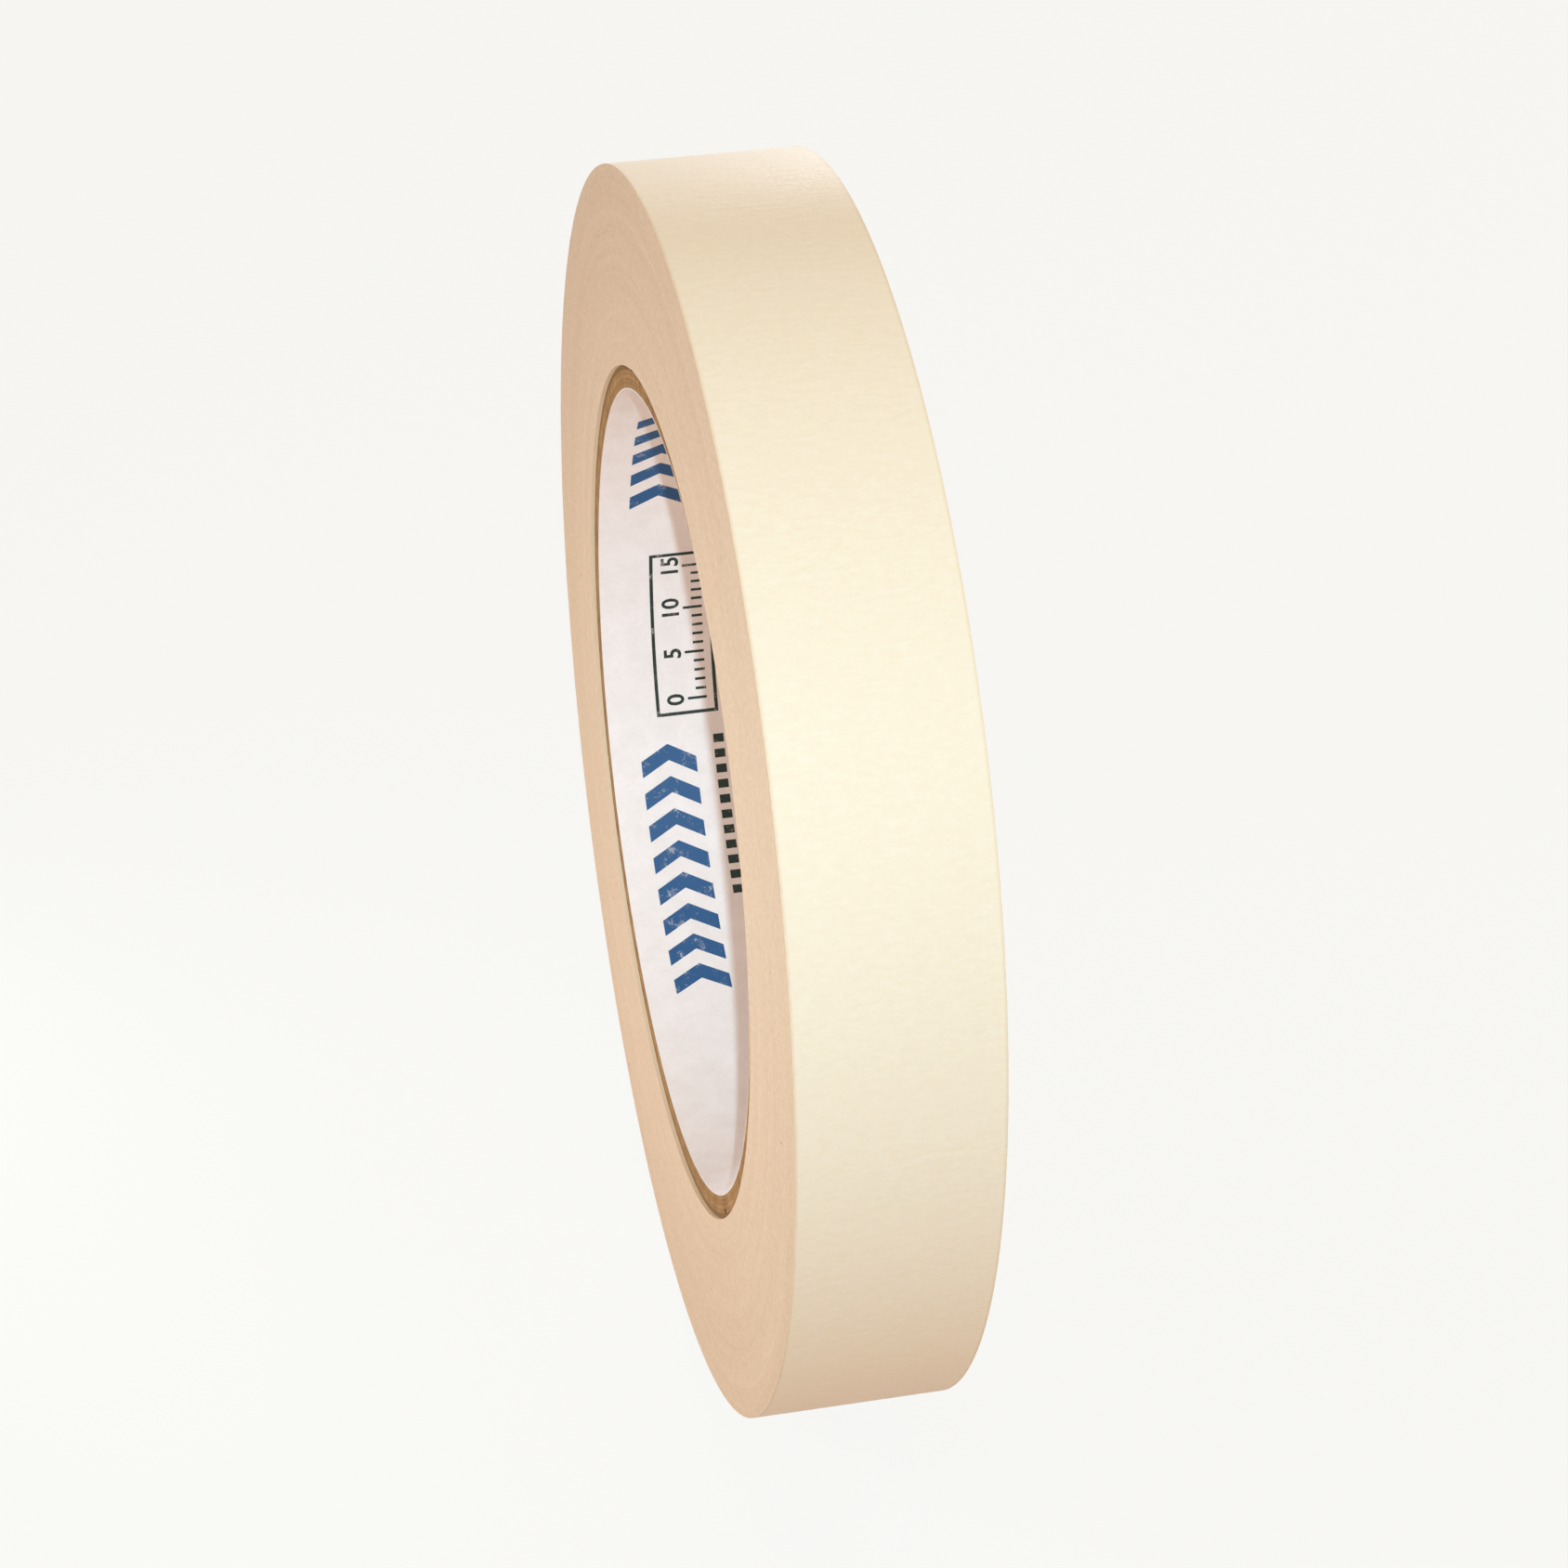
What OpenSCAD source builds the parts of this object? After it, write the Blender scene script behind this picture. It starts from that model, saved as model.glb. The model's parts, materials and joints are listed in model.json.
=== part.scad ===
// Roll of masking tape, stood on its rim.
// The origin is the centre of the core's bore at mid width, and the roll's axis lies along Y.

/* [Tape] */
// Width of the tape
tape_w = 18; // [9:1:36]
// Length of tape on the roll, in metres
tape_length_m = 55; // [10:1:66]
// Thickness of the tape, crepe paper and adhesive together
tape_t = 0.105; // [0.09:0.005:0.2]
// Place of the tape's start round the core, from +X towards +Z
start_at = 110; // [0:5:355]

/* [Free end] */
// Length of tape that lifts off at the free end
end_length = 14; // [8:1:30]
// Air under the loosened end and along its fold
end_gap = 0.02; // [0.01:0.01:0.05]
// Place of the fold round the roll, from +X towards +Z
fold_at = 180; // [0:5:355]

/* [Core] */
// Bore of the core
bore_d = 76.2; // [50:0.1:80]
// Thickness of the white paper liner
liner_t = 0.12; // [0.08:0.01:0.3]
// Thickness of one chipboard ply
ply_t = 0.41; // [0.3:0.01:0.8]
// Film of glue between one layer and the next
glue_t = 0.02; // [0.01:0.01:0.05]
// How far each end of the core sits back from the side of the tape
core_setback = 0.4; // [0.1:0.1:1]

/* [Spiral seams] */
// Angle between a seam and the way round the core
seam_angle = 35; // [30:1:50]
// Gap between the two edges of a strip where they meet
seam_gap = 0.4; // [0.1:0.1:1]
// Place of the liner's seam round the core, from +X towards +Z
seam_at = 35; // [0:5:355]
// Turn from one layer's seam to the next layer's
seam_step = 65; // [55:5:100]

/* [Hidden] */
$fn = 96;

plies = 5;
bore_r = bore_d / 2;
core_w = tape_w - 2 * core_setback;

// The strip's edge has the same area rolled up or laid out flat, which gives the roll's mean radius
mm_per_m = 1000;
wound_r = ply_r(plies) + ply_t + glue_t;
mean_r = sqrt(pow(wound_r, 2) + tape_length_m * mm_per_m * tape_t / PI);
roll_r = mean_r + tape_t / 2;

// Angles from the fold to the tip of the free end, and to the near edge of the air at the fold
end_angle = end_length / roll_r * 180 / PI;
fold_angle = end_gap / roll_r * 180 / PI;

// From the fold the rim climbs by one thickness in a turn, to roll_r where it meets the fold again.
// It is drawn as two half turns about centres that lie apart.
half_shift = tape_t / 4;
first_half_r = roll_r - 3 * half_shift;
second_half_r = roll_r - half_shift;

past = 1; // How far a cutting body runs past the face that it cuts
dip = 0.01; // How far the thin end of the start's hollow dips under the core's surface, so that it closes

liner_white = "#efe6e4";
chipboard = ["#b3946f", "#a98a64", "#b89a76", "#ab8c68", "#b3926c"];
side_tan = "#dfc6a4";
crepe_cream = "#f3e3bf";

// Inner radius of a chipboard ply, counted from 1 at the liner
function ply_r(i) = bore_r + liner_t + i * glue_t + (i - 1) * ply_t;

// Stands what is drawn round Z on its rim: X stays, and Y goes up
module upright() {
    rotate([90, 0, 0]) children();
}

// Slice of the wound tape from one angle to another, about the centre of its own half turn
module slice(centre, r_in, r_out, from, to) {
    translate([centre, 0, 0]) rotate([0, 0, from]) rotate_extrude(angle = to - from)
        translate([r_in, -tape_w / 2]) square([r_out - r_in, tape_w]);
}

// Slot through a wall of radius r, slanted as the edges of a strip that is wound in a spiral
module seam(r) {
    seam_length = (core_w + 2 * past) / sin(seam_angle);
    rotate([seam_angle, 0, 0]) translate([0, -seam_length / 2, -seam_gap / 2])
        cube([r + past, seam_length, seam_gap]);
}

// One layer of the core: a strip wound in a spiral, so that its edges meet in a slanted seam
module core_layer(r, thickness, seam_place) {
    upright() difference() {
        rotate_extrude() translate([r, -core_w / 2]) square([thickness, core_w]);
        rotate([0, 0, seam_place]) seam(r + thickness);
    }
}

module core_liner() {
    color(liner_white) core_layer(bore_r, liner_t, seam_at);
}

module core_ply(i) {
    color(chipboard[i - 1]) core_layer(ply_r(i), ply_t, seam_at + i * seam_step);
}

// Hollow before the tape's start.
// The second turn leaves the core there and runs straight up to the top of the start.
module start_hollow() {
    span = acos(wound_r / (wound_r + tape_t));
    rotate([0, 0, start_at]) linear_extrude(tape_w + 2 * past, center = true)
        polygon([[0, 0], (wound_r - dip) * [cos(span), -sin(span)], [wound_r + tape_t, 0]]);
}

// All the turns up to the fold, where the rim has its step
module tape_winding() {
    color(side_tan) upright() difference() {
        rotate([0, 0, fold_at]) {
            slice(-half_shift, wound_r - past, first_half_r, 0, 180);
            slice(half_shift, wound_r - past, second_half_r, 180, 360);
        }
        cylinder(r = wound_r, h = tape_w + 2 * past, center = true);
        start_hollow();
    }
}

// The last stretch of tape, which a thumbnail lifts and which then turns about its fold
module tape_free_end() {
    color(crepe_cream) upright() rotate([0, 0, fold_at])
        slice(-half_shift, first_half_r + end_gap, first_half_r + tape_t, fold_angle, end_angle);
}

core_liner();
core_ply(1);  // core_ply_1
core_ply(2);  // core_ply_2
core_ply(3);  // core_ply_3
core_ply(4);  // core_ply_4
core_ply(5);  // core_ply_5
tape_winding();
tape_free_end();
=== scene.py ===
import json
import math

import bmesh
import bpy
import numpy as np
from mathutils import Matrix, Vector


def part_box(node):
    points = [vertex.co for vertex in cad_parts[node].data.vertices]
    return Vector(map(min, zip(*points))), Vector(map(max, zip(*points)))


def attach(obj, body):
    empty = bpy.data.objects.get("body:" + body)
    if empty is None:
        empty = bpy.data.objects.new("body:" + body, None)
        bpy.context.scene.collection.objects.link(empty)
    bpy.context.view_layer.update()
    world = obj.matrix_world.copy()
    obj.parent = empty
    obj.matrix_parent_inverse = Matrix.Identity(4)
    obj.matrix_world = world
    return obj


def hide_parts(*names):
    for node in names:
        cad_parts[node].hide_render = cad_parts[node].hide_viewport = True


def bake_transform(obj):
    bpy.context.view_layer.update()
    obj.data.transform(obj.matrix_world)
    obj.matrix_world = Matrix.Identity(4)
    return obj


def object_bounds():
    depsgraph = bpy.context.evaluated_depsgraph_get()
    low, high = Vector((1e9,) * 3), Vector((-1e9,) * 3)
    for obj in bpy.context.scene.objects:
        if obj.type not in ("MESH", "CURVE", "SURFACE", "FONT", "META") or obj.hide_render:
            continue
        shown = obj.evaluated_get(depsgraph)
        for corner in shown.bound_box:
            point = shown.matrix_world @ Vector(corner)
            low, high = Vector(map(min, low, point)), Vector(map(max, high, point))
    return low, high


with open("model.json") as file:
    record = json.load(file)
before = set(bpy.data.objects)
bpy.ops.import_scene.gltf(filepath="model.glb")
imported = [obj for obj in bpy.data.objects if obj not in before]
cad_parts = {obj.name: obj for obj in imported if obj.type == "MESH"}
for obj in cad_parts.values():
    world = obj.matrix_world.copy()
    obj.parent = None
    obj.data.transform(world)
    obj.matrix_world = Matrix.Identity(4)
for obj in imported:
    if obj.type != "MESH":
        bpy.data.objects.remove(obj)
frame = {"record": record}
cad_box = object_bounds()

# Camera: it looks down on the standing roll and along its outer face, so that the near side is a narrow band.
# The lens is moderately long, level and aimed at the middle of the bore.
bpy.ops.object.camera_add(location=(0.299791, -0.062079, 0.213639))
camera = bpy.context.object
camera.name = "camera"
camera.rotation_euler = (-camera.location).to_track_quat("-Z", "Y").to_euler()
camera.data.lens = 90.4
camera.data.shift_x = 0.0171
camera.data.shift_y = -0.0014
bpy.context.scene.camera = camera
bpy.context.scene.view_settings.view_transform = "Standard"


# Table top and air: a plain pale sheet that the roll stands on, under a pale sky.
# The sheet shines by itself to the eye, so that only a soft shadow of the roll is left on it.
pale = (0.939, 0.939, 0.922, 1)
table_warm = (0.58, 0.36, 0.22, 1)
sky_light = (1.0, 0.66, 0.42, 1)
sky_strength = 0.475
floor_glow = 0.93
table_w = 6.0


def feed(tree, made, inputs):
    """Fills a node's sockets: each gets its value, or a link from the output that is given for it."""
    for socket, value in inputs.items():
        if isinstance(value, bpy.types.NodeSocket):
            tree.links.new(value, made.inputs[socket])
        else:
            made.inputs[socket].default_value = value
    return made


def node(tree, kind, inputs, **settings):
    """Adds a node with its settings and its inputs."""
    made = tree.nodes.new("ShaderNode" + kind)
    for name, value in settings.items():
        setattr(made, name, value)
    return feed(tree, made, inputs)


def seen_directly(tree):
    """1 for what the eye, a gloss or a clear piece shows of the surroundings, 0 for the light they give."""
    path = node(tree, "LightPath", {})
    either = node(tree, "Math", {0: path.outputs["Is Camera Ray"], 1: path.outputs["Is Glossy Ray"]},
                  operation="MAXIMUM")
    return node(tree, "Math", {0: either.outputs[0], 1: path.outputs["Is Transmission Ray"]},
                operation="MAXIMUM").outputs[0]


bpy.ops.object.select_all(action="DESELECT")
bpy.ops.mesh.primitive_plane_add(size=table_w, location=(0, 0, cad_box[0].z))
floor = bpy.context.object
floor.name = "table_top"
floor_paint = bpy.data.materials.new("pale_table")
floor_paint.use_nodes = True
tree = floor_paint.node_tree
plain = tree.nodes["Principled BSDF"]
plain.inputs["Roughness"].default_value = 1.0
plain.inputs["Specular IOR Level"].default_value = 0.0
direct = seen_directly(tree)
paint = node(tree, "Mix", {0: direct, 6: table_warm, 7: pale}, data_type="RGBA").outputs[2]
tree.links.new(paint, plain.inputs["Base Color"])
glow = node(tree, "Emission", {"Color": pale, "Strength": 1.0})
share = node(tree, "Math", {0: direct, 1: floor_glow}, operation="MULTIPLY")
both = node(tree, "MixShader", {0: share.outputs[0], 1: plain.outputs[0], 2: glow.outputs[0]})
tree.links.new(both.outputs[0], tree.nodes["Material Output"].inputs["Surface"])
floor.data.materials.append(floor_paint)

world = bpy.data.worlds.new("pale_air")
bpy.context.scene.world = world
world.use_nodes = True
tree = world.node_tree
seen = node(tree, "Background", {"Color": pale, "Strength": 1.0})
felt = node(tree, "Background", {"Color": sky_light, "Strength": sky_strength})
both = node(tree, "MixShader", {0: seen_directly(tree), 1: felt.outputs[0], 2: seen.outputs[0]})
tree.links.new(both.outputs[0], tree.nodes["World Output"].inputs["Surface"])


# Lamps: a small lamp close beside the eye, a narrow panel that faces the roll's near side,
# a weak warm lamp overhead, and two low lamps for what is turned away from the eye.
def lamp(name, azimuth, elevation, distance, power, colour, width, height, turn=0.0, aim=(0, 0, 0)):
    """A soft round or long lamp that faces its aim, and is then turned about it."""
    place = [math.radians(angle) for angle in (azimuth, elevation)]
    away = Vector((math.cos(place[1]) * math.sin(place[0]), -math.cos(place[1]) * math.cos(place[0]),
                   math.sin(place[1])))
    bpy.ops.object.light_add(type="AREA", location=Vector(aim) + distance * away)
    made = bpy.context.object
    made.name = name
    made.rotation_euler = away.to_track_quat("Z", "Y").to_euler()
    made.rotation_euler.rotate_axis("Z", math.radians(turn))
    made.data.shape = "ELLIPSE"
    made.data.size = width
    made.data.size_y = height
    made.data.energy = power
    made.data.color = colour
    made.visible_camera = False


lamp("eye_lamp", 79.9, 36.0, 0.7, 2.66, (0.75, 1.03, 1.15), 0.009, 0.009)
lamp("side_panel", 0.0, 0.0, 0.1, 0.082, (0.92, 1.02, 0.99), 0.24, 0.03, turn=35.0, aim=(0.01, 0, 0))
lamp("top_lamp", 90.0, 86.0, 0.8, 0.62, (1.0, 0.52, 0.12), 0.25, 0.25)
lamp("back_lamp", 250.0, 3.0, 1.2, 6.6, (0.84, 1.0, 1.1), 0.18, 0.18)
lamp("far_lamp", 180.0, 3.0, 0.8, 2.4, (0.84, 1.0, 1.1), 0.16, 0.16)


# Liner: one turn of white kraft paper, which makes the smooth face of the bore.
# It is wound as a spiral strip, and its two slanted edges meet with a hair of a gap.
mm = 0.001
merge_gap = 0.001 * mm
close_by = 0.01 * mm
smooth_angle = math.radians(40)
bore_r = next(mount for mount in frame["record"]["mounts"] if mount["name"] == "core_bore")["dims"]["r_mm"] * mm
liner_t = 0.12 * mm
core_w = 17.2 * mm
seam_angle = math.radians(35)
seam_gap = 0.4 * mm
seam_at = 35.0
liner_cells = (90, 6)  # strips along the slab: so many at first, and each of them cut again
liner_white = (0.87, 0.835, 0.86, 1)
liner_shade = (0.80, 0.75, 0.76, 1)


def pick(kind, test):
    """Selects the faces, edges or corners that pass the test, in the piece that is open in edit mode."""
    bpy.ops.mesh.select_mode(type=kind)
    bpy.ops.mesh.select_all(action="DESELECT")
    opened = bmesh.from_edit_mesh(bpy.context.object.data)
    for part in {"VERT": opened.verts, "EDGE": opened.edges, "FACE": opened.faces}[kind]:
        if test(part):
            part.select_set(True)
    bmesh.update_edit_mesh(bpy.context.object.data)


def flat_slab(name, x_from, x_to, width, thickness, along, through):
    """A slab of paper or board on the bench: its length is along X, its width along Y, its outer face up.
    Its long faces are cut into strips, in two goes along the length, so that the slab can be wound."""
    bpy.ops.object.select_all(action="DESELECT")
    bpy.ops.mesh.primitive_cube_add(size=1, calc_uvs=False, location=((x_from + x_to) / 2, 0, thickness / 2),
                                    scale=(x_to - x_from, width, thickness))
    slab = bpy.context.object
    slab.name = slab.data.name = name
    bpy.ops.object.transform_apply(location=True, rotation=True, scale=True)
    bpy.ops.object.mode_set(mode="EDIT")
    for axis, cells in ((0, along[0]), (0, along[1]), (2, through)):
        pick("EDGE", lambda edge: abs((edge.verts[0].co - edge.verts[1].co)[axis]) > close_by)
        if cells > 1:
            bpy.ops.mesh.subdivide(number_cuts=cells - 1)
    bpy.ops.object.mode_set(mode="OBJECT")
    return slab


def slant_ends(strip, length):
    """Cuts both ends of a strip along the slanted seam, half a gap short of it."""
    half_gap = seam_gap / math.sin(seam_angle) / 2
    across = (math.sin(seam_angle), -math.cos(seam_angle), 0)
    bpy.ops.object.select_all(action="DESELECT")
    strip.select_set(True)
    bpy.context.view_layer.objects.active = strip
    bpy.ops.object.mode_set(mode="EDIT")
    bpy.ops.mesh.select_all(action="SELECT")
    bpy.ops.mesh.bisect(plane_co=(half_gap, 0, 0), plane_no=across, use_fill=True, clear_inner=True,
                        threshold=merge_gap)
    bpy.ops.mesh.select_all(action="SELECT")
    bpy.ops.mesh.bisect(plane_co=(length - half_gap, 0, 0), plane_no=across, use_fill=True, clear_outer=True,
                        threshold=merge_gap)
    bpy.ops.object.mode_set(mode="OBJECT")


def corners_of(piece):
    """The places of a piece's corners, as rows."""
    places = np.empty(len(piece.data.vertices) * 3, np.float32)
    piece.data.vertices.foreach_get("co", places)
    return places.reshape(-1, 3).astype(float)


def place_corners(piece, places):
    piece.data.vertices.foreach_set("co", np.ascontiguousarray(places, np.float32).ravel())
    piece.data.update()


def wind(piece, radius, start, climb=0.0):
    """Winds a flat piece round the roll's axis. X turns clockwise from the start angle, and up goes outwards.
    The flat lengths stay with the piece as its own map, in millimetres."""
    flat = corners_of(piece)
    corner_of = np.empty(len(piece.data.loops), np.int32)
    piece.data.loops.foreach_get("vertex_index", corner_of)
    for layer in list(piece.data.uv_layers):
        piece.data.uv_layers.remove(layer)
    flat_map = piece.data.uv_layers.new(name="flat")
    flat_map.data.foreach_set("uv", (flat[corner_of][:, :2] / mm).astype(np.float32).ravel())
    turn = math.radians(start) - flat[:, 0] / radius
    reach = radius + flat[:, 2] - climb * flat[:, 0] / (2 * math.pi * radius)
    place_corners(piece, np.column_stack((reach * np.cos(turn), flat[:, 1], reach * np.sin(turn))))


def finish_piece(piece, body, materials, stands_for=()):
    """Smooths a piece within its edges, gives it its materials, and hangs it on the frame."""
    bpy.ops.object.select_all(action="DESELECT")
    piece.select_set(True)
    bpy.context.view_layer.objects.active = piece
    bpy.ops.object.shade_smooth_by_angle(angle=smooth_angle)
    for material in materials:
        if material.name not in piece.data.materials:
            piece.data.materials.append(material)
    if stands_for:
        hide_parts(*stands_for)
    if body:
        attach(piece, body)


def new_group(name, inputs, outputs):
    """An effect that several materials use: its tree, the node with its inputs and the node for its outputs."""
    group = bpy.data.node_groups.new(name, "ShaderNodeTree")
    for socket, kind in inputs:
        group.interface.new_socket(socket, in_out="INPUT", socket_type="NodeSocket" + kind)
    for socket in outputs:
        group.interface.new_socket(socket, in_out="OUTPUT", socket_type="NodeSocketFloat")
    return group, group.nodes.new("NodeGroupInput"), group.nodes.new("NodeGroupOutput")


def use_group(tree, group, inputs):
    """Places a shared effect in a material, with the values that it has there."""
    return node(tree, "Group", inputs, node_tree=group)


def between(tree, value, low, high, out_low=0.0, out_high=1.0):
    """A value's run from low to high, as 0 to 1 or another pair of numbers."""
    return node(tree, "MapRange", {0: value, 1: low, 2: high, 3: out_low, 4: out_high}).outputs[0]


def mixed(tree, mask, low, high):
    """The colour that goes from low to high with the mask."""
    return node(tree, "Mix", {0: mask, 6: low, 7: high}, data_type="RGBA").outputs[2]


def open_material(name, gloss):
    """A new material with its own gloss, and its tree."""
    made = bpy.data.materials.new(name)
    made.use_nodes = True
    tree = made.node_tree
    tree.nodes["Principled BSDF"].inputs["Specular IOR Level"].default_value = gloss
    return made, tree


def finish_material(tree, colour, roughness, height=None, relief=0.0, depth=0.0):
    """Gives a material its colour and roughness, and its height as a bump of that strength and depth."""
    feed(tree, tree.nodes["Principled BSDF"], {"Base Color": colour, "Roughness": roughness})
    if height is not None:
        bumps = node(tree, "Bump", {"Height": height, "Strength": relief, "Distance": depth})
        feed(tree, tree.nodes["Principled BSDF"], {"Normal": bumps.outputs[0]})


def own_map(tree):
    """The place on a wound piece before it was wound, in millimetres."""
    return node(tree, "UVMap", {}, uv_map="flat").outputs[0]


# Fibres: short hairs laid at random in a sheet, finer and paler ones over coarser and darker ones.
fibres, taken, given = new_group(
    "paper_fibres", (("Place", "Vector"), ("Hairs per mm", "Float")), ("Tone", "Height"))
in_hairs = node(fibres, "VectorMath", {0: taken.outputs["Place"], "Scale": taken.outputs["Hairs per mm"]},
                operation="SCALE").outputs[0]
hairs = node(fibres, "TexNoise", {"Vector": in_hairs, "Scale": 1.0, "Detail": 4.0, "Roughness": 0.6,
                                  "Distortion": 1.6})
clouds = node(fibres, "TexNoise", {"Vector": in_hairs, "Scale": 0.16, "Detail": 2.0})
fibres.links.new(between(fibres, hairs.outputs[0], 0.3, 0.7), given.inputs["Height"])
blur = node(fibres, "Math", {0: hairs.outputs[0], 1: clouds.outputs[0]}, operation="ADD")
fibres.links.new(between(fibres, blur.outputs[0], 0.7, 1.3), given.inputs["Tone"])

liner_length = 2 * math.pi * bore_r
slant_run = core_w / 2 / math.tan(seam_angle) + seam_gap
liner = flat_slab("liner_sheet", -slant_run, liner_length + slant_run, core_w, liner_t, liner_cells, 1)
slant_ends(liner, liner_length)
wind(liner, bore_r, seam_at)

liner_paper, tree = open_material("white_kraft", gloss=0.4)
grain = use_group(tree, fibres, {"Place": own_map(tree), "Hairs per mm": 2.2})
finish_material(tree, mixed(tree, grain.outputs["Tone"], liner_shade, liner_white),
                between(tree, grain.outputs["Tone"], 0.0, 1.0, 0.62, 0.5),
                grain.outputs["Height"], relief=0.35, depth=0.02 * mm)
finish_piece(liner, "roll", [liner_paper], ["core_liner"])


# Print on the liner: one pass of blue and one of black ink, printed before the paper is slit and wound.
# It is plain: rows of arrowheads that show which way the tape unwinds, dashed lines, and a ruler in a box.
ink_t = 0.02 * mm
print_start = -4.8 * mm
print_pitch = 102.3 * mm
prints = 3
film_step = 1.0 * mm
ink_blue = (0.020, 0.090, 0.235, 1)
ink_black = (0.012, 0.022, 0.016, 1)

# Sizes of the print, in millimetres. X runs along the sheet, and y across it from the near side.
arrow_rows = ((0.0, 8), (54.5, 5))  # where a row starts, and how many arrowheads it has
arrow_step = 3.375
arrow_thick = 1.7
arrow_lean = 1.6
arrow_sides = (-5.5, 0.3)
dash_runs = (10.5, 26.6)
dash_sides = (2.3, 3.4)
dash_step = 1.6
dash_length = 0.9
ruler_box = (29.8, 48.1, -3.4, 3.1)
line_w = 0.35
first_tick = 1.65
tick_w = 0.28
tick_ends = (0.0, 0.9, 2.0)  # a long tick's start, a short tick's start, and where both end
ticks = 16
long_tick_every = 5
figure_y = -0.45
figure_size = 2.5
figure_swell = 0.05


def bar(x_from, x_to, y_from, y_to, lean=0.0):
    """A bar of ink on the liner's flat inner face, in millimetres.
    Lean shifts its right edge along the sheet."""
    bpy.ops.object.select_all(action="DESELECT")
    bpy.ops.mesh.primitive_plane_add(size=1, calc_uvs=False, rotation=(math.pi, 0, 0),
                                     location=((x_from + x_to) / 2 * mm, (y_from + y_to) / 2 * mm, 0))
    made = bpy.context.object
    made.scale = ((x_to - x_from) * mm, (y_to - y_from) * mm, 1)
    bpy.ops.object.transform_apply(location=True, rotation=True, scale=True)
    if lean:
        bpy.ops.object.mode_set(mode="EDIT")
        pick("VERT", lambda corner: corner.co.y > (y_from + y_to) / 2 * mm)
        bpy.ops.transform.translate(value=(lean * mm, 0, 0))
        bpy.ops.object.mode_set(mode="OBJECT")
    return made


def box_outline(x_from, x_to, y_from, y_to, width):
    """A box drawn with a line of that width, in millimetres."""
    made = bar(x_from, x_to, y_from, y_to)
    bpy.ops.object.mode_set(mode="EDIT")
    bpy.ops.mesh.select_all(action="SELECT")
    bpy.ops.mesh.inset(thickness=width * mm)
    bpy.ops.mesh.delete(type="FACE")
    bpy.ops.object.mode_set(mode="OBJECT")
    return made


def digits(text, x, y, size):
    """Plain figures that are read from inside the bore, with their tops towards the near side."""
    bpy.ops.object.select_all(action="DESELECT")
    bpy.ops.object.text_add(rotation=(math.pi, 0, 0), location=(x * mm, y * mm, 0))
    made = bpy.context.object
    made.data.body = text
    made.data.size = size * mm
    made.data.align_x = "CENTER"
    made.data.resolution_u = 3
    made.data.offset = figure_swell * mm
    bpy.ops.object.convert(target="MESH")
    bpy.ops.object.transform_apply(location=True, rotation=True, scale=True)
    return made


def print_pass(name, shapes):
    """Joins what one ink prints, repeats it along the sheet, and cuts it to the sheet.
    The film is then wound as the liner is."""
    bpy.ops.object.select_all(action="DESELECT")
    for shape in shapes:
        shape.select_set(True)
    film = shapes[0]
    bpy.context.view_layer.objects.active = film
    bpy.ops.object.join()
    film.name = film.data.name = name
    bpy.ops.object.mode_set(mode="EDIT")
    bpy.ops.mesh.select_all(action="SELECT")
    bpy.ops.mesh.remove_doubles(threshold=merge_gap)
    bpy.ops.object.mode_set(mode="OBJECT")
    place_corners(film, corners_of(film) + (print_start, 0, 0))
    repeat = film.modifiers.new("repeat", "ARRAY")
    repeat.count = prints
    repeat.use_relative_offset = False
    repeat.use_constant_offset = True
    repeat.constant_offset_displace = (print_pitch, 0, 0)
    bpy.ops.object.modifier_apply(modifier=repeat.name)
    slant_ends(film, liner_length)
    bpy.ops.object.mode_set(mode="EDIT")
    for cut in np.arange(-slant_run, liner_length + slant_run, film_step):
        bpy.ops.mesh.select_all(action="SELECT")
        bpy.ops.mesh.bisect(plane_co=(cut, 0, 0), plane_no=(1, 0, 0), threshold=merge_gap)
    bpy.ops.object.mode_set(mode="OBJECT")
    body = film.modifiers.new("film", "SOLIDIFY")
    body.thickness = ink_t
    body.offset = 0.5
    bpy.ops.object.modifier_apply(modifier=body.name)
    wind(film, bore_r, seam_at)
    return film


half_y = sum(arrow_sides) / 2
arrows = []
for x in [row_x + i * arrow_step for row_x, count in arrow_rows for i in range(count)]:
    tip_x = x + arrow_lean
    arrows.append(bar(x, x + arrow_thick, arrow_sides[0], half_y, lean=arrow_lean))
    arrows.append(bar(tip_x, tip_x + arrow_thick, half_y, arrow_sides[1], lean=-arrow_lean))
blue_print = print_pass("blue_print", arrows)

marks = []
for x in [row_x + dash_x for row_x, _ in arrow_rows for dash_x in np.arange(*dash_runs, dash_step)]:
    marks.append(bar(x, x + dash_length, *dash_sides))
marks.append(box_outline(*ruler_box, line_w))
for i in range(ticks):
    tick_x = ruler_box[0] + first_tick + i
    long_tick = i % long_tick_every == 0
    marks.append(bar(tick_x - tick_w / 2, tick_x + tick_w / 2, tick_ends[0 if long_tick else 1], tick_ends[2]))
for i in range(0, ticks, long_tick_every):
    marks.append(digits(str(i), ruler_box[0] + first_tick + i, figure_y, figure_size))
black_print = print_pass("black_print", marks)


def ink(name, colour):
    """Ink on rough paper: it covers well, and the paper's fibres show through it as small pale gaps."""
    made, tree = open_material(name, gloss=0.35)
    grain = use_group(tree, fibres, {"Place": own_map(tree), "Hairs per mm": 4.0})
    gaps = between(tree, grain.outputs["Tone"], 0.72, 1.0, 0.0, 0.5)
    finish_material(tree, mixed(tree, gaps, colour, liner_shade),
                    between(tree, grain.outputs["Tone"], 0.0, 1.0, 0.5, 0.65))
    return made


finish_piece(blue_print, "roll", [ink("blue_ink", ink_blue)])
finish_piece(black_print, "roll", [ink("black_ink", ink_black)])


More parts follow.
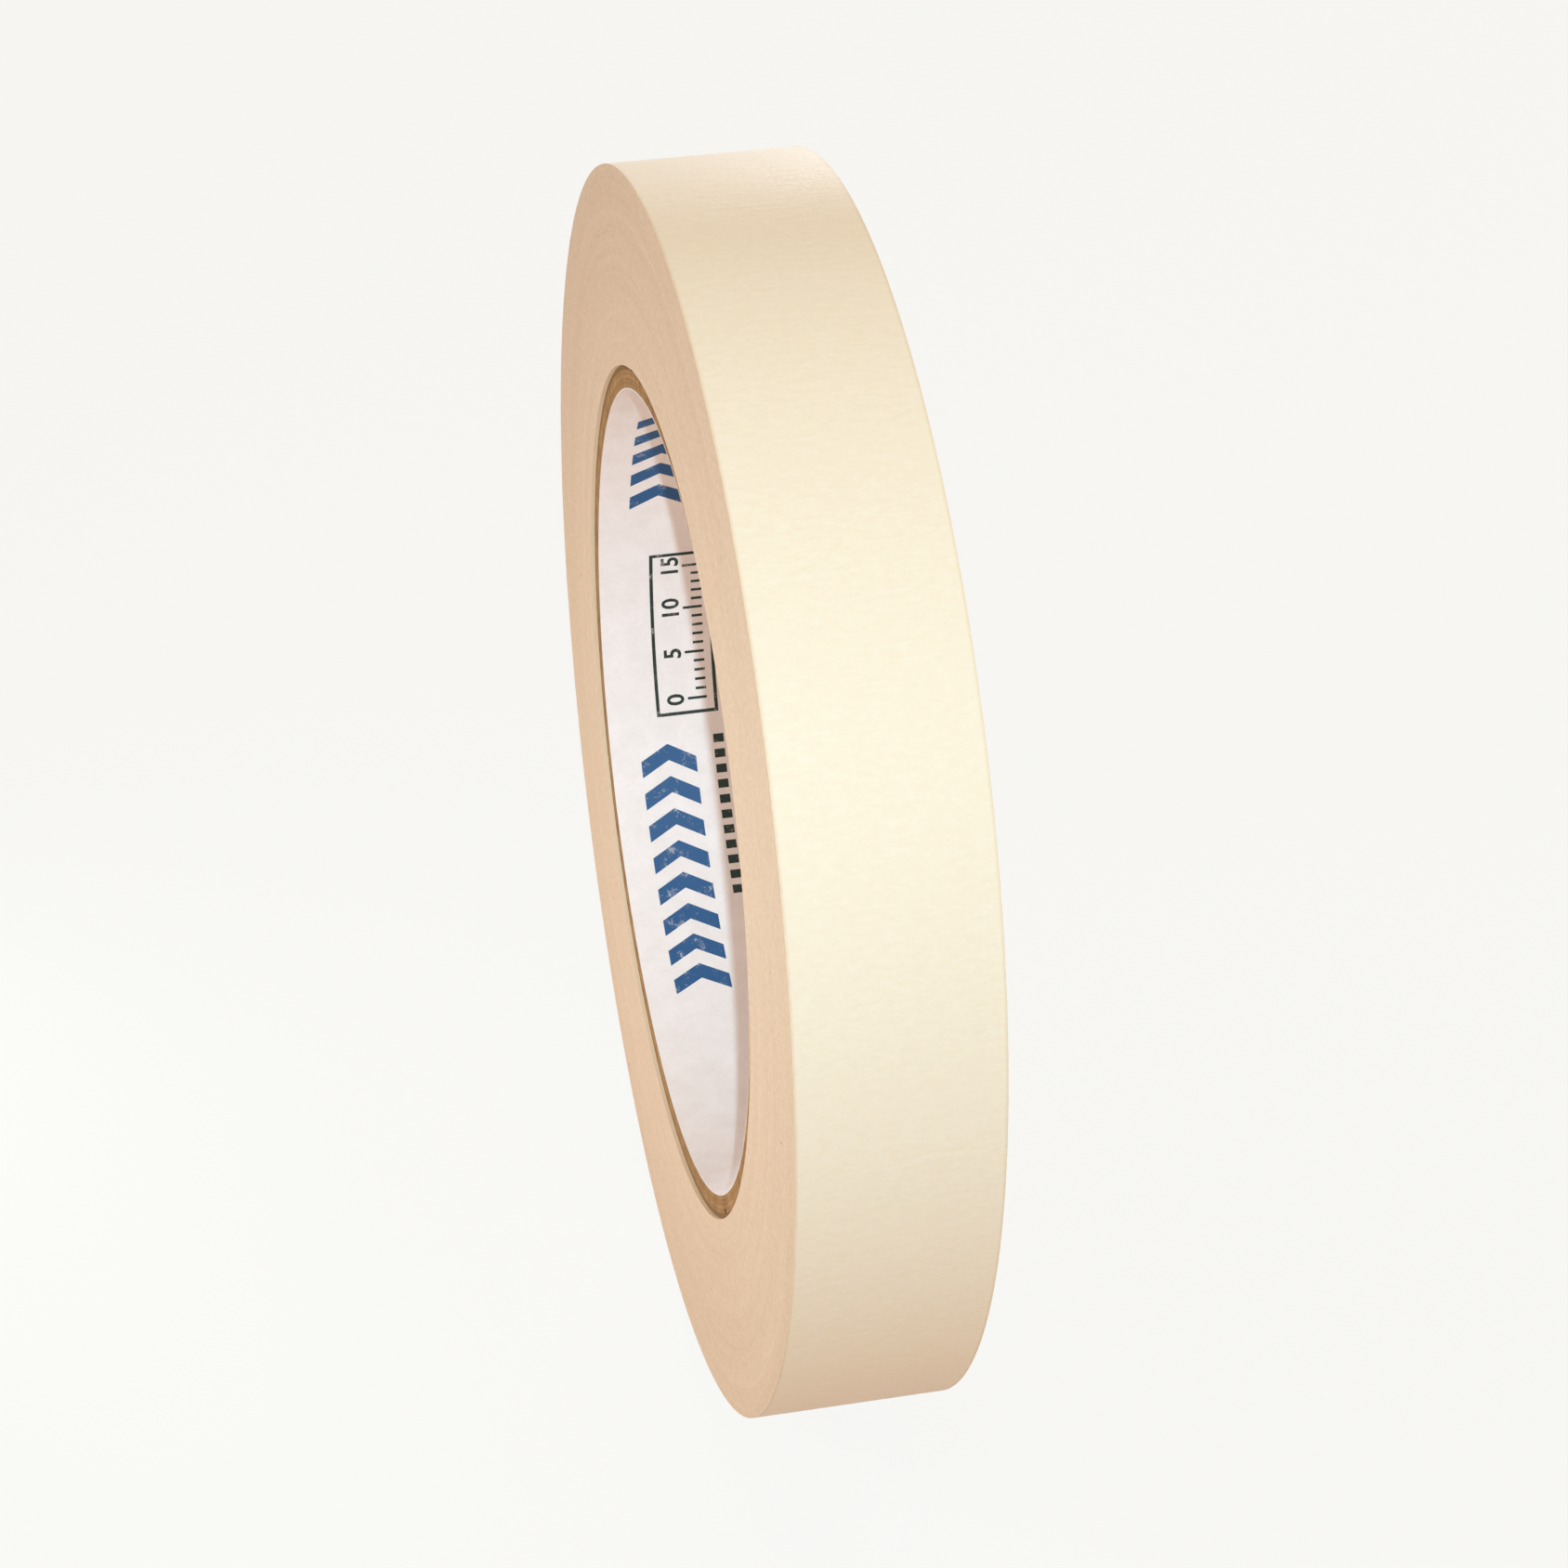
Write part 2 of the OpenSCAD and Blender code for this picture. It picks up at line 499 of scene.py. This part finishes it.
# Chipboard plies: five grey-brown strips, each wound in a spiral round the last and held to it by glue.
# The core is cut to length by a round knife, which leaves the edge of each ply a little furry.
plies = 5
ply_t = 0.41 * mm
glue_t = 0.02 * mm
seam_step = 65.0
ply_cells = (96, 9)
ply_layers = 4
fur_size = 0.16 * mm
fur_depth = 0.05 * mm
# Browns of the plies, from the liner out. The first four are the board's own colours. The fifth, for the
# outermost ply, is painted shade: it is far darker, so that the core's outer edge shows the shade of the
# setback between core and tape.
board_browns_and_painted_shade = ((0.45, 0.27, 0.12, 1), (0.40, 0.235, 0.105, 1), (0.48, 0.295, 0.135, 1), (0.42, 0.25, 0.11, 1),
                (0.23, 0.14, 0.065, 1))
board_dark = (0.26, 0.15, 0.075, 1)


def ply_r(i):
    """Inner radius of a ply, counted from 1 at the liner."""
    return bore_r + liner_t + i * glue_t + (i - 1) * ply_t


def roughen(piece, test, direction, size, depth):
    """Moves the corners that pass the test in or out, as a cloudy pattern of that size says."""
    chosen = piece.vertex_groups.new(name="rough")
    chosen.add([corner.index for corner in piece.data.vertices if test(corner.co)], 1.0, "REPLACE")
    pattern = bpy.data.textures.new("rough", "CLOUDS")
    pattern.noise_scale = size
    pattern.noise_depth = 2
    push = piece.modifiers.new("rough", "DISPLACE")
    push.texture = pattern
    push.texture_coords = "LOCAL"
    push.direction = direction
    push.vertex_group = chosen.name
    push.strength = depth
    push.mid_level = 0.5
    bpy.context.view_layer.objects.active = piece
    bpy.ops.object.modifier_apply(modifier=push.name)
    piece.vertex_groups.clear()


def in_millimetres(tree, place):
    """A place in metres, in millimetres."""
    return node(tree, "VectorMath", {0: place, "Scale": 1 / mm}, operation="SCALE").outputs[0]


def chipboard(name, brown):
    """Recycled board: grey-brown pulp with pale and dark hairs, rougher where it is cut."""
    made, tree = open_material(name, gloss=0.2)
    place = node(tree, "TexCoord", {}).outputs["Object"]
    grain = use_group(tree, fibres, {"Place": in_millimetres(tree, place), "Hairs per mm": 3.0})
    finish_material(tree, mixed(tree, between(tree, grain.outputs["Tone"], 0.0, 0.8), board_dark, brown),
                    between(tree, grain.outputs["Tone"], 0.0, 1.0, 0.95, 0.8),
                    grain.outputs["Height"], relief=0.6, depth=0.04 * mm)
    return made


for i in range(1, plies + 1):
    ply_length = 2 * math.pi * ply_r(i)
    ply = flat_slab(f"chipboard_ply_{i}", -slant_run, ply_length + slant_run, core_w, ply_t,
                    ply_cells, ply_layers)
    slant_ends(ply, ply_length)
    roughen(ply, lambda place: abs(place.y) > core_w / 2 - close_by, "Y", fur_size, fur_depth)
    wind(ply, ply_r(i), seam_at + i * seam_step)
    # The outermost ply's brown is painted shade for the setback beside it.
    board = chipboard(f"chipboard_{i}", board_browns_and_painted_shade[i - 1])
    finish_piece(ply, "roll", [board], [f"core_ply_{i}"])


# Wound turns: all the tape under the last turn, one strip wound 176 times on itself by its own adhesive.
# Each side of the roll is the strip's slit edge, turn beside turn, and no turn lies quite level with the next.
tape_t = 0.105 * mm
tape_w = 18.0 * mm
start_at = 110.0
fold_at = 180.0
wound_r = ply_r(plies) + ply_t + glue_t
roll_r = -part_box("tape_winding")[0].x
turns = 176
steps = 252
pitch = (roll_r - tape_t - wound_r) / turns
wander = 0.007 * mm
bundle_wander = 0.004 * mm
bundle = 7
blend_turns = 24
level_turns = 3
start_lip = 0.02 * mm
side_tan = (0.79, 0.635, 0.49, 1)
side_deep = (0.645, 0.485, 0.35, 1)
core_glue = (0.75, 0.59, 0.43, 1)  # adhesive that shows where the tape stands past the core
speck_brown = (0.16, 0.09, 0.04, 1)
draws_seed = 7

first_turn = 2 * math.pi * wound_r
bpy.ops.object.select_all(action="DESELECT")
bpy.ops.mesh.primitive_grid_add(x_subdivisions=steps, y_subdivisions=turns, size=1, calc_uvs=False,
                                rotation=(math.pi / 2, 0, 0),
                                location=(first_turn / 2, -tape_w / 2, turns * pitch / 2))
winding = bpy.context.object
winding.scale = (first_turn, turns * pitch, 1)
winding.name = winding.data.name = "wound_turns"
bpy.ops.object.transform_apply(location=True, rotation=True, scale=True)
bpy.ops.object.mode_set(mode="EDIT")
bpy.ops.mesh.select_all(action="SELECT")
bpy.ops.mesh.extrude_region_move(TRANSFORM_OT_translate={"value": (0, tape_w, 0)})
pick("FACE", lambda face: abs(face.normal.x) > 0.9)
bpy.ops.mesh.delete(type="FACE")
bpy.ops.object.mode_set(mode="OBJECT")

flat = corners_of(winding)
column = np.rint(flat[:, 0] / first_turn * steps).astype(int)
ring = np.rint(flat[:, 2] / pitch).astype(int)
start_column = round((fold_at - start_at) / 360 * steps)
start_x = first_turn * start_column / steps
ramp = wound_r * math.acos(wound_r / (wound_r + tape_t))


def ring_height(ring, x):
    """How high the boundary between two turns lies over the core, before the climb of the spiral is taken off.
    Near the core it jumps by the thickness of the tape's start, and further out the turns even that out."""
    share = x / first_turn
    jump = np.interp(x, (0, start_x, start_x + ramp, first_turn),
                     (0, start_x / first_turn, (start_x + ramp) / first_turn - 1, 0))
    return pitch * (ring + jump * np.clip(1 - (ring - 1) / blend_turns, 0, 1) * (ring > 0)
                    + share * (ring == 0))


x = flat[:, 0].copy()
inner = ring == 0
beside_start = inner & (column == start_column + 1)
x[beside_start] = start_x + start_lip
height = ring_height(ring, x)
past_start = inner & (column > start_column)
height[past_start] = ring_height(np.ones(past_start.sum(), int), x[past_start])
draw = np.random.default_rng(draws_seed)
level = draw.normal(0, wander, turns + 2)
bundles = draw.normal(0, bundle_wander, (turns + 2) // bundle + 3)
level += np.interp(np.arange(turns + 2) / bundle, np.arange(len(bundles)), bundles)
wound_turn = np.clip(ring - x / first_turn, 0, turns) + 1
shift = np.interp(wound_turn, np.arange(turns + 2), level)
shift *= np.clip((turns - ring) / level_turns, 0, 1)
place_corners(winding, np.column_stack((x, flat[:, 1] + shift, height)))
wind(winding, wound_r, fold_at, climb=pitch)

bpy.ops.object.mode_set(mode="EDIT")
bpy.ops.mesh.select_all(action="SELECT")
bpy.ops.mesh.remove_doubles(threshold=merge_gap)
bpy.ops.mesh.select_all(action="DESELECT")
bpy.ops.mesh.select_mode(type="EDGE")
bpy.ops.mesh.select_non_manifold(extend=False, use_wire=False, use_boundary=True, use_multi_face=False,
                                 use_non_contiguous=False, use_verts=False)
bpy.ops.mesh.edge_face_add()
bpy.ops.mesh.select_all(action="SELECT")
bpy.ops.mesh.normals_make_consistent(inside=False)
bpy.ops.object.mode_set(mode="OBJECT")

# Slit edges: a fine grain of cut fibres over the faint rings of the turns, each beside its line of adhesive.
# Broad bands, fainter still, come from how tightly the turns were drawn on.
strata, taken, given = new_group("slit_edges", (("Place", "Vector"),), ("Tone", "Height", "Away"))
flat_disc = node(strata, "VectorMath", {0: taken.outputs["Place"], 1: (1, 0, 1)},
                 operation="MULTIPLY").outputs[0]
away = node(strata, "VectorMath", {0: flat_disc}, operation="LENGTH").outputs["Value"]
strata.links.new(away, given.inputs["Away"])
heading = node(strata, "VectorMath", {0: flat_disc}, operation="NORMALIZE").outputs[0]
cut_fibres = node(strata, "TexNoise", {"Vector": in_millimetres(strata, taken.outputs["Place"]), "Scale": 2.6,
                                       "Detail": 3.0, "Roughness": 0.65}).outputs[0]
total = node(strata, "Math", {0: cut_fibres, 1: 1.2}, operation="MULTIPLY").outputs[0]
for rings_per_m, round_scale, detail, weight in ((7000.0, 1.6, 3.0, 0.5), (700.0, 0.7, 1.0, 0.3)):
    out = node(strata, "Math", {0: away, 1: rings_per_m}, operation="MULTIPLY").outputs[0]
    rise = node(strata, "CombineXYZ", {"Y": out}).outputs[0]
    place = node(strata, "VectorMath", {0: heading, 1: (round_scale,) * 3, 2: rise}, operation="MULTIPLY_ADD")
    tone = node(strata, "TexNoise", {"Vector": place.outputs[0], "Scale": 1.0, "Detail": detail}).outputs[0]
    total = node(strata, "Math", {0: tone, 1: weight, 2: total}, operation="MULTIPLY_ADD").outputs[0]
strata.links.new(between(strata, total, 0.65, 1.35), given.inputs["Tone"])
strata.links.new(between(strata, total, 0.6, 1.4), given.inputs["Height"])

# Specks: a few bits of dust and dark fibre that the adhesive has caught.
specks, taken, given = new_group(
    "dust_specks", (("Place", "Vector"), ("Cell mm", "Float"), ("Share", "Float"), ("Size", "Float")),
    ("Mask",))
cells_per_m = node(specks, "Math", {0: 1 / mm, 1: taken.outputs["Cell mm"]}, operation="DIVIDE").outputs[0]
cells = node(specks, "VectorMath", {0: taken.outputs["Place"], "Scale": cells_per_m}, operation="SCALE")
spots = node(specks, "TexVoronoi", {"Vector": cells.outputs[0], "Scale": 1.0})
reach = node(specks, "Math", {0: spots.outputs["Distance"], 1: taken.outputs["Size"]}, operation="DIVIDE")
round_spot = between(specks, reach.outputs[0], 0.6, 1.0, 1.0, 0.0)
lot = node(specks, "SeparateColor", {0: spots.outputs["Color"]}).outputs[0]
drawn = node(specks, "Math", {0: lot, 1: taken.outputs["Share"]}, operation="LESS_THAN").outputs[0]
speck = node(specks, "Math", {0: round_spot, 1: drawn}, operation="MULTIPLY")
specks.links.new(speck.outputs[0], given.inputs["Mask"])

slit_edge, tree = open_material("slit_edge", gloss=0.35)
place = node(tree, "TexCoord", {}).outputs["Object"]
rings = use_group(tree, strata, {"Place": place})
dust = use_group(tree, specks, {"Place": place, "Cell mm": 4.0, "Share": 0.45, "Size": 0.045})
paper = mixed(tree, rings.outputs["Tone"], side_deep, side_tan)
past_core = between(tree, rings.outputs["Away"], wound_r + 0.02 * mm, wound_r + 0.08 * mm)
paper = mixed(tree, past_core, core_glue, paper)
finish_material(tree, mixed(tree, dust.outputs["Mask"], paper, speck_brown),
                between(tree, rings.outputs["Tone"], 0.0, 1.0, 0.62, 0.5),
                rings.outputs["Height"], relief=0.25, depth=0.03 * mm)
finish_piece(winding, "roll", [slit_edge], ["tape_winding"])


# Last turn: the tape that shows, saturated crepe paper with fine folds across its width.
# Its outer face is lightly coated, its underside carries the adhesive, and its edges are slit.
crepe_cell = 0.19 * mm
cells_across = 20
fold_size = 0.55 * mm
fold_stretch = 2.5
fold_depth = 0.04 * mm
crepe_cream = (0.93, 0.89, 0.77, 1)
crepe_deep = (0.905, 0.845, 0.70, 1)
crepe_edge = (0.78, 0.63, 0.42, 1)
edge_run = (8.7, 9.0)  # where the slit edge starts to tint the face, and the edge itself, mm from the middle
speck_tan = (0.35, 0.24, 0.13, 1)
adhesive_tan = (0.74, 0.60, 0.38, 1)
adhesive_deep = (0.66, 0.50, 0.29, 1)


def crepe_strip(name, x_from, x_to, thickness):
    """A stretch of tape, flat on the bench with its coated face up at z = 0, x counted from the fold.
    Its folds are made while it is too narrow, and it is then drawn out to its width, which lengthens them."""
    cells = round((x_to - x_from) / crepe_cell)
    bpy.ops.object.select_all(action="DESELECT")
    bpy.ops.mesh.primitive_grid_add(x_subdivisions=cells, y_subdivisions=cells_across, size=1, calc_uvs=False,
                                    location=((x_from + x_to) / 2, 0, 0))
    strip = bpy.context.object
    strip.scale = (x_to - x_from, tape_w / fold_stretch, 1)
    strip.name = strip.data.name = name
    bpy.ops.object.transform_apply(location=True, rotation=True, scale=True)
    roughen(strip, lambda place: True, "Z", fold_size, fold_depth)
    bpy.ops.object.mode_set(mode="EDIT")
    bpy.ops.mesh.select_all(action="SELECT")
    bpy.ops.transform.resize(value=(1, fold_stretch, 1), center_override=(0, 0, 0))
    bpy.ops.object.mode_set(mode="OBJECT")
    paper = strip.modifiers.new("paper", "SOLIDIFY")
    paper.thickness = thickness
    paper.offset = -1
    paper.material_offset = 1
    paper.material_offset_rim = 2
    for material in (crepe_paper, adhesive, slit_edge):
        strip.data.materials.append(material)
    bpy.ops.object.modifier_apply(modifier=paper.name)
    wind(strip, roll_r, fold_at, climb=tape_t)
    return strip


# Crepe: long shallow folds over short ones, both across the strip, with a paler crest and a deeper hollow.
folds, taken, given = new_group("crepe_folds", (("Place", "Vector"),), ("Tone", "Height"))
layers = []
for along, across, detail in ((1.7, 0.7, 2.0), (3.4, 2.2, 3.0)):
    place = node(folds, "VectorMath", {0: taken.outputs["Place"], 1: (along, across, 1)}, operation="MULTIPLY")
    layers.append(node(folds, "TexNoise", {"Vector": place.outputs[0], "Scale": 1.0, "Detail": detail,
                                           "Roughness": 0.55, "Distortion": 0.4}).outputs[0])
both = node(folds, "Math", {0: layers[0], 1: layers[1]}, operation="ADD").outputs[0]
folds.links.new(between(folds, both, 0.7, 1.3), given.inputs["Tone"])
folds.links.new(between(folds, both, 0.6, 1.4), given.inputs["Height"])

crepe_paper, tree = open_material("saturated_crepe", gloss=0.18)
place = own_map(tree)
crinkle = use_group(tree, folds, {"Place": place})
dust = use_group(tree, specks, {"Place": node(tree, "TexCoord", {}).outputs["Object"], "Cell mm": 9.0,
                                "Share": 0.3, "Size": 0.014})
paper = mixed(tree, crinkle.outputs["Tone"], crepe_deep, crepe_cream)
across = node(tree, "SeparateXYZ", {0: place}).outputs["Y"]
beside = node(tree, "Math", {0: across}, operation="ABSOLUTE").outputs[0]
paper = mixed(tree, between(tree, beside, *edge_run, 0.0, 0.6), paper, crepe_edge)
finish_material(tree, mixed(tree, dust.outputs["Mask"], paper, speck_tan),
                between(tree, crinkle.outputs["Tone"], 0.0, 1.0, 0.52, 0.42),
                crinkle.outputs["Height"], relief=0.35, depth=0.05 * mm)

# Adhesive: a thin rubbery coat that lets the crepe show through, deeper in colour and shinier than the paper.
adhesive, tree = open_material("adhesive", gloss=0.5)
crinkle = use_group(tree, folds, {"Place": own_map(tree)})
finish_material(tree, mixed(tree, crinkle.outputs["Tone"], adhesive_deep, adhesive_tan),
                between(tree, crinkle.outputs["Tone"], 0.0, 1.0, 0.2, 0.36),
                crinkle.outputs["Height"], relief=0.2, depth=0.05 * mm)

last_turn = crepe_strip("last_turn", 0.0, 2 * math.pi * roll_r, tape_t)
finish_piece(last_turn, "roll", [], ["tape_winding"])


# Free end: the same strip past the fold, 14 mm of it, pressed on the turn below until a thumbnail lifts it.
end_length = 14.0 * mm
end_gap = 0.02 * mm
free_end = crepe_strip("free_end_strip", -end_length, 0.0, tape_t - end_gap)
finish_piece(free_end, None, [], ["tape_free_end"])
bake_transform(free_end)
